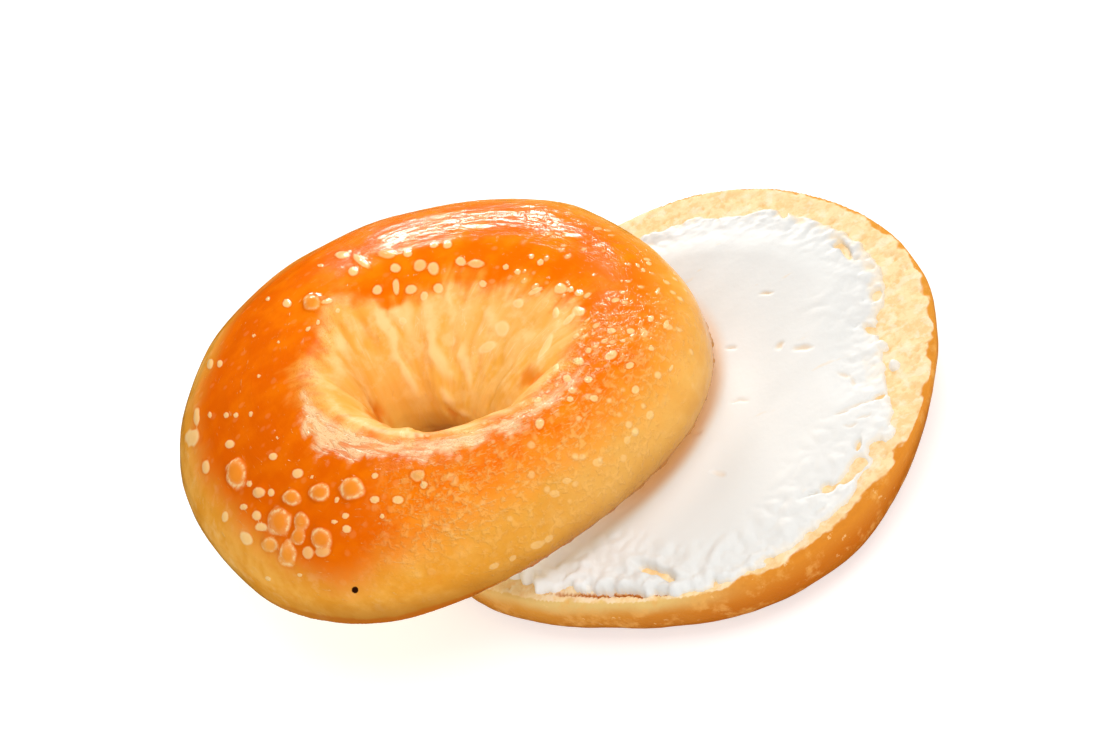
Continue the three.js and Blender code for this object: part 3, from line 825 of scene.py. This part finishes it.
keep_values(crown, unrolled=unrolled, side_edge=side_edge, brow_edge=brow_edge, rise=rise, skin=on_skin,
            blister=blister, ringed=ringed, vein=vein, fold=fold, wrinkled=wrinkled,
            far_shoulder=far_shoulder, near_brow=near_brow, outer_slope=ease(from_crest, 1, 12),
            # the low near flank: partly painted shade, and a mask for its lumps
            near_flank=towards(bearing, -82, 0.75, 0.97) * ease(from_crest, 10, 18) * 0.6,
            # the right flank, painted paler where the light falls on it
            right_flank=towards(bearing, -50, 0.68, 0.95) * ease(from_crest, 11, 18),
            speckled=at_bearing(bearing, SPECKLED) * ease(side_edge, -9, -3) * ease(brow_edge, -4, 0),
            far_brow=towards(bearing, 160, 0.5, 0.9) * ease(-np.abs(brow_edge + 1), -5, -1),
            lip_shade=at_bearing(compass(points, CROWN_MIDDLE)[0], LIP_SHADE),
            burnt=seen_oval(skin_seen, *BURNT_SPECK) + 9 * (from_crest < 5))


def lines_in(material, noise_value, width, core=0.0):
    """Thin lines along which a noise is at its middle value: 1 in their core, and 0 past their width."""
    off_line = maths(material, "ABSOLUTE", maths(material, "SUBTRACT", noise_value, 0.5))
    return spread_out(material, off_line, width, core)


crust, crust_shader = new_material("crust", [crown])
place = add_node(crust, "ShaderNodeTexCoord").outputs["Object"]
skin_place = attribute(crust, "unrolled", vector=True)
drip_noise = noise_node(crust, stretched(crust, skin_place, (0.35, 0.35, 0.11)), 1.0, 1.5, 0.5, 1.2)
wave_noise = noise_node(crust, stretched(crust, skin_place, (0.7, 0.7, 1.5)), 1.0, 4.0, 0.62, 0.7)
ring_noise = noise_node(crust, stretched(crust, skin_place, (0.16, 0.16, 0.75)), 1.0, 2.0, 0.5, 0.8)
creases = lines_in(crust, ring_noise, 0.035)
hairlines = lines_in(crust, wave_noise, 0.02, 0.005)
blotches = noise_node(crust, place, 130.0, 4.0)
fine = noise_node(crust, place, 900.0, 3.0)
wrinkled = attribute(crust, "wrinkled")

# The browned skin: deepest at the left, and lighter in blotches towards the right.
east = add_node(crust, "ShaderNodeSeparateXYZ", {0: place}).outputs[0]
to_right = spread_out(crust, east, -58 * MM, -10 * MM)
browned_tone = blend(crust, to_right, srgb("e06000"), srgb("f67000"))
lighter = times(crust, spread_out(crust, blotches, 0.4, 0.7), scaled(crust, to_right, 0.7, 0.3))
browned_tone = blend(crust, lighter, browned_tone, srgb("fb8706"))

# The pale skin of the side, floury in places and amber in others.
pale_tone = blend(crust, spread_out(crust, blotches, 0.35, 0.65), srgb("ea9d30"), srgb("f6b552"))
floury = noise_node(crust, place, 240.0, 4.0, 0.6)
pale_tone = blend(crust, spread_out(crust, floury, 0.52, 0.72, 0.0, 0.35), pale_tone, srgb("fdd38c"))
pale_tone = blend(crust, spread_out(crust, floury, 0.46, 0.30, 0.0, 0.3), pale_tone, srgb("e48a22"))
# The low near flank is painted darker and tanner: partly its own tone, partly painted shade towards the
# lip.
pale_tone = blend(crust, attribute(crust, "near_flank"), pale_tone, srgb("dc9836"))
# Painted light: the right flank, where the light falls, is painted paler and more golden.
pale_tone = blend(crust, times(crust, attribute(crust, "right_flank"), 0.55), pale_tone, srgb("ebb664"))

# The pale skin of the funnel: veins, clouds, and folds with pale ridges and darker grooves, partly
# their own tone and partly painted highlight and shade.
vein = attribute(crust, "vein")
vein_share = spread_out(crust, scaled(crust, drip_noise, 0.5, vein), -0.1, 0.6)
drip_tone = blend(crust, vein_share, srgb("f2ac46"), srgb("f8bd6a"))
thin_veins = times(crust, lines_in(crust, drip_noise, 0.03), spread_out(crust, vein, 0.0, 0.3, 0.0, 0.4))
drip_tone = blend(crust, thin_veins, drip_tone, srgb("fedcaa"))
cloudy = spread_out(crust, noise_node(crust, place, 250.0, 4.0, 0.6), 0.45, 0.7, 0.0, 0.5)
drip_tone = blend(crust, cloudy, drip_tone, srgb("fdd594"))
fold = attribute(crust, "fold")
rise = attribute(crust, "rise")
drip_tone = blend(crust, spread_out(crust, rise, 20.0, 5.0, 0.0, 0.6), drip_tone, srgb("f8ca5a"))
# Ridges painted paler and grooves darker: partly painted highlight and shade.
drip_tone = blend(crust, spread_out(crust, fold, 0.0, 0.8, 0.0, 0.8), drip_tone, srgb("ffd895"))
drip_tone = blend(crust, spread_out(crust, fold, 0.0, -1.0, 0.0, 0.9), drip_tone, srgb("e8800a"))
in_funnel = spread_out(crust, attribute(crust, "brow_edge"), 1.0, -1.0)
pale_tone = blend(crust, in_funnel, pale_tone, drip_tone)

# The browned skin ends raggedly on the side, and in drips down the funnel.
ragged = scaled(crust, blotches, 9.0, -4.5)
dripping = scaled(crust, drip_noise, 7.0, scaled(crust, vein, -6.0, -8.0))
dripping = scaled(crust, noise_node(crust, place, 230.0, 4.0), 9.0, dripping)
dripping = scaled(crust, fold, -5.0, dripping)
side_share = spread_out(crust, maths(crust, "ADD", attribute(crust, "side_edge"), ragged), -4.0, 6.0)
brow_share = spread_out(crust, maths(crust, "ADD", attribute(crust, "brow_edge"), dripping), -5.0, 3.5)
browned = times(crust, side_share, brow_share)
crust_tone = blend(crust, browned, pale_tone, browned_tone)

# Mottling, flecks and small lumps of the wrinkled skin.
mottled = spread_out(crust, noise_node(crust, place, 220.0, 6.0, 0.7), 0.36, 0.66)
mottled = times(crust, mottled, times(crust, wrinkled, attribute(crust, "outer_slope")))
crust_tone = blend(crust, times(crust, mottled, 0.7), crust_tone, srgb("f69d35"))
fleck_level = scaled(crust, wrinkled, 0.1, wave_noise)
flecked = spread_out(crust, fleck_level, 0.63, 0.76)
crust_tone = blend(crust, times(crust, flecked, 0.48), crust_tone, srgb("fbc778"))
lumpy = times(crust, wrinkled, scaled(crust, attribute(crust, "outer_slope"), 0.6, 0.4))
lumpy = maths(crust, "MAXIMUM", lumpy, attribute(crust, "near_flank"))
lumps = times(crust, spread_out(crust, noise_node(crust, place, 720.0, 2.0), 0.46, 0.68), lumpy)
crust_tone = blend(crust, times(crust, lumps, 0.5), crust_tone, srgb("fbc06c"))

# Tiny blisters, strewn over the right of the crown.
cells = add_node(crust, "ShaderNodeTexVoronoi", {"Vector": place, "Scale": 300.0}).outputs["Distance"]
strewn = scaled(crust, noise_node(crust, place, 190.0, 2.0), 0.5, -0.25)
specks = spread_out(crust, maths(crust, "SUBTRACT", cells, strewn), 0.27, 0.12)
specks = times(crust, specks, attribute(crust, "speckled"))
crust_tone = blend(crust, times(crust, specks, 0.75), crust_tone, srgb("fdd08c"))

# Fine cracks along the far brow, and the streaky gleam of the near one: pale wrinkled skin with a
# highlight painted over it.
border = times(crust, hairlines, attribute(crust, "far_brow"))
crust_tone = blend(crust, times(crust, border, 0.7), crust_tone, srgb("d96a08"))
streaks = spread_out(crust, ring_noise, 0.36, 0.56, 0.35, 1.0)
streaked = times(crust, attribute(crust, "near_brow"), streaks)
streaked = times(crust, streaked, scaled(crust, hairlines, -0.6, 0.85))
crust_tone = blend(crust, streaked, crust_tone, srgb("fdd9a6"))

# The lip at the cut and the turn above it: partly browned, and partly painted shade of the underside,
# darkest along its edge.
lip_height = scaled(crust, blotches, 3.0, -1.5)
lip = spread_out(crust, maths(crust, "ADD", rise, lip_height), 10.0, 2.0, 0.0, 0.95)
lip = times(crust, lip, attribute(crust, "lip_shade"))
crust_tone = blend(crust, lip, crust_tone, srgb("b67626"))
lip_edge = spread_out(crust, scaled(crust, lip_height, 0.8, rise), 3.4, 2.2)
lip_edge = times(crust, lip_edge, attribute(crust, "lip_shade"))
crust_tone = blend(crust, lip_edge, crust_tone, srgb("b8661a"))

# Blisters: an orange foot on browned skin, a paler top, and a speckled rim that is palest on large ones.
distance = attribute(crust, "blister")
ring = attribute(crust, "ringed")
on_blister = spread_out(crust, distance, BLISTER_FOOT, 0.78)
past_foot = spread_out(crust, distance, 1.5, 1.2, 0.0, 0.35)
foot = times(crust, spread_out(crust, distance, 1.0, BLISTER_FOOT), past_foot)
crust_tone = blend(crust, times(crust, foot, browned), crust_tone, srgb("d45c00"))
on_blister = times(crust, on_blister, scaled(crust, attribute(crust, "near_flank"), -0.8, 1.0))
speckles = spread_out(crust, noise_node(crust, place, 900.0, 3.0, 0.6), 0.38, 0.6, 0.4, 0.9)
rim = times(crust, spread_out(crust, distance, 0.4, 0.9), speckles)
rim = times(crust, rim, maths(crust, "MAXIMUM", ring, 0.6))
veiled = maths(crust, "MAXIMUM", rim, scaled(crust, ring, -0.4, 0.8))
blister_tone = blend(crust, ring, srgb("fdd48e"), srgb("fbb142"))
blister_tone = blend(crust, rim, blister_tone, srgb("fddfa6"))
crust_tone = blend(crust, times(crust, on_blister, veiled), crust_tone, blister_tone)

# The burnt speck, and bare crumb on the cut face.
burnt = spread_out(crust, attribute(crust, "burnt"), 1.1, 0.8)
crust_tone = blend(crust, burnt, crust_tone, srgb("2c1206"))
crust_tone = blend(crust, attribute(crust, "skin"), srgb("f3dca8"), crust_tone)
feed(crust, crust_shader.inputs["Base Color"], crust_tone)

# The gloss, cracked on the far shoulder, and relief that is too fine for the mesh.
shining = maths(crust, "MAXIMUM", attribute(crust, "near_brow"), attribute(crust, "far_shoulder"))
cracked = times(crust, maths(crust, "MAXIMUM", hairlines, creases), attribute(crust, "far_shoulder"))
roughness = spread_out(crust, attribute(crust, "brow_edge"), 1.0, -2.0, 0.14, 0.45)
roughness = scaled(crust, cracked, 0.4, scaled(crust, shining, -0.04, roughness))
feed(crust, crust_shader.inputs["Roughness"], roughness)
crust_shader.inputs["Specular IOR Level"].default_value = 0.045
crust_shader.inputs["Specular Tint"].default_value = (1.0, 0.85, 0.74, 1)
creased = maths(crust, "MAXIMUM", shining, times(crust, wrinkled, 0.25))
wrinkle_height = times(crust, times(crust, creases, creased), -0.5)
wrinkle_height = scaled(crust, ring_noise, scaled(crust, creased, 0.3, 0.1), wrinkle_height)
grain_height = scaled(crust, specks, 0.6, times(crust, flecked, 0.35))
grain_height = scaled(crust, lumps, 0.9, grain_height)
grain_height = scaled(crust, spread_out(crust, distance, BLISTER_FOOT, 0.2), 0.35, grain_height)
bumps = maths(crust, "ADD", wrinkle_height, scaled(crust, fine, 0.06, grain_height))
bump = add_node(crust, "ShaderNodeBump", {"Height": bumps, "Strength": 0.5, "Distance": 0.8 * MM})
feed(crust, crust_shader.inputs["Normal"], bump.outputs[0])

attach(crown, "root")
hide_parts("crown_half")
